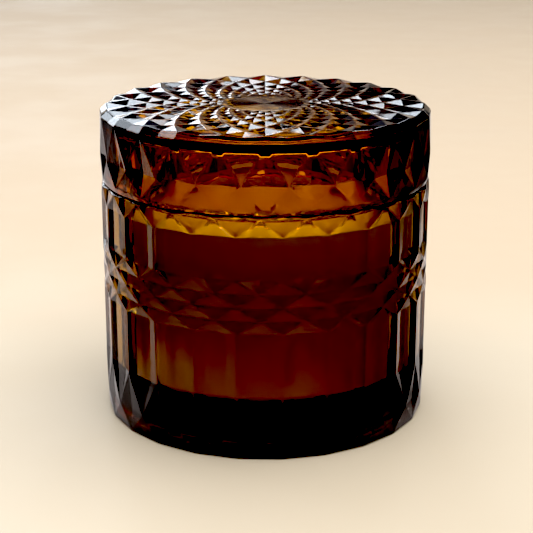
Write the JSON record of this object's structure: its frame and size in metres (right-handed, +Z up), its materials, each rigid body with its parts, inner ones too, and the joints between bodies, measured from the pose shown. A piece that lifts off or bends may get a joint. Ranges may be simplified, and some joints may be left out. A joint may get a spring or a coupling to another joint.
{
  "type": "lidded candle jar",
  "caption": "Lidded candle jar of faceted amber pressed glass, with a hollow lift-off lid on a soft seal ring, filled with wax around a single wick.",
  "frame": {"origin": "centre of the jar's foot, on the surface it stands on", "axes": "+Z up along the axis of the jar and lid; a lid kite faces -Y"},
  "size_m": [0.09, 0.09, 0.0852],
  "materials": {
    "amber_glass": "pressed amber glass, fire polished",
    "clear_silicone": "translucent soft silicone",
    "wax": "cream wax, smooth and slightly waxy",
    "cotton": "braided waxed cotton",
    "tinned_steel": "thin pressed tinned steel",
    "foam_adhesive": "white double-sided foam dot"
  },
  "bodies": {
    "jar": {"glass_jar": "amber_glass", "wax_fill": "wax", "wick": "cotton", "wick_sustainer": "tinned_steel", "wick_sticker": "foam_adhesive"},
    "seal": {"seal_ring": "clear_silicone"},
    "lid": {"glass_lid": "amber_glass"}
  },
  "joints": [
    {"name": "lid_lift", "type": "slide", "parent": "jar", "child": "seal", "axis": [0, 0, 1], "range_m": [0, 0.05]},
    {"name": "lid_turn", "type": "hinge", "parent": "seal", "child": "lid", "pos_m": [0, 0, 0.063], "axis": [0, 0, 1], "continuous": true}
  ]
}
